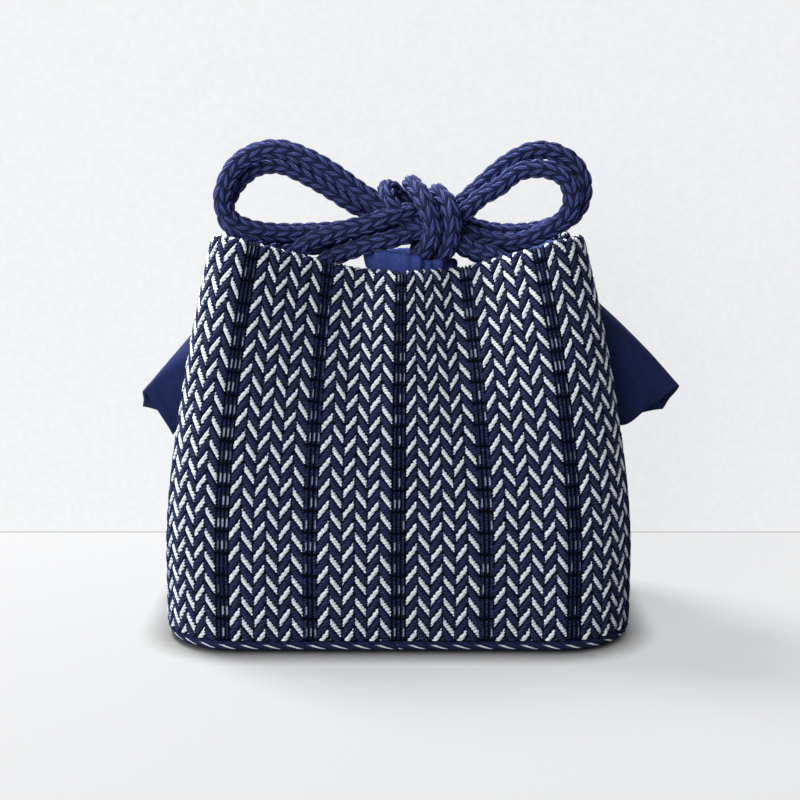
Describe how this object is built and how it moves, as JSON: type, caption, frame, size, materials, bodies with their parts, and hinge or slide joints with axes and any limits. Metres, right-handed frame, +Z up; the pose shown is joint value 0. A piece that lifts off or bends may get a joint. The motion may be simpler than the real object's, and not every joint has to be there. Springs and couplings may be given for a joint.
{
  "type": "teaware storage pouch",
  "caption": "Drawstring pouch for teaware: stiff navy and white herringbone-woven body, gathered navy cotton collar with side wings, and doubled cords tied in a bow.",
  "frame": {"origin": "on the ground, under the centre of the flat base", "axes": "+Z up, +X along the pouch's length to the right seen from the front, -Y towards the viewer"},
  "size_m": [0.1741, 0.09, 0.157],
  "materials": {
    "herringbone_weave": "thick yarn-dyed cotton weave, matte",
    "navy_cotton": "plain-woven cotton, matte",
    "navy_cord": "braided cotton cord, matte"
  },
  "bodies": {
    "root": {"woven_wall": "herringbone_weave", "woven_base": "herringbone_weave", "lining_bag": "navy_cotton", "gathered_collar": "navy_cotton", "right_wing": "navy_cotton", "left_wing": "navy_cotton", "left_ear_outer": "navy_cord", "left_ear_inner": "navy_cord", "right_ear_outer": "navy_cord", "right_ear_inner": "navy_cord", "left_feed_upper": "navy_cord", "left_feed_lower": "navy_cord", "right_feed_front": "navy_cord", "right_feed_back": "navy_cord", "bow_knot": "navy_cord"}
  },
  "joints": []
}
